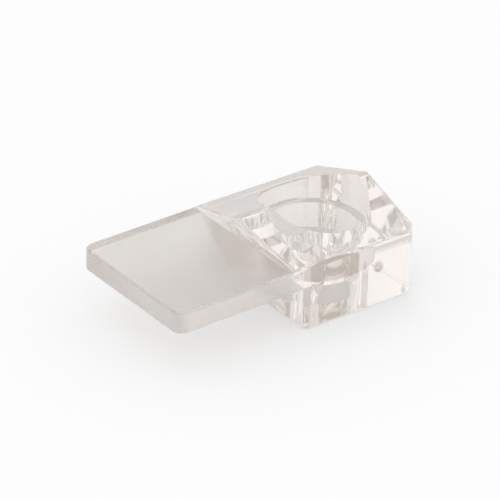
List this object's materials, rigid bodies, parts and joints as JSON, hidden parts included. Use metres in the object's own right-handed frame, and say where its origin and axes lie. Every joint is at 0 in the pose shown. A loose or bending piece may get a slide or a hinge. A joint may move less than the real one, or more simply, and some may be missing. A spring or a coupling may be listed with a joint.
{
  "type": "mirror clip",
  "caption": "Clear moulded clip: a flat blade reaches over the edge of a mirror, and a gable-topped block with a stepped screw hole holds it to the wall.",
  "frame": {"origin": "middle of the part's outline, on the plane of the wall face", "axes": "+X from the blade's tip to the block, +Y along the edge of the glass, +Z away from the wall along the screw"},
  "size_m": [0.029, 0.016, 0.0098],
  "materials": {
    "clear_plastic": "clear, polished, with a satin underside on the blade"
  },
  "bodies": {
    "root": {"clip": "clear_plastic"}
  },
  "joints": []
}
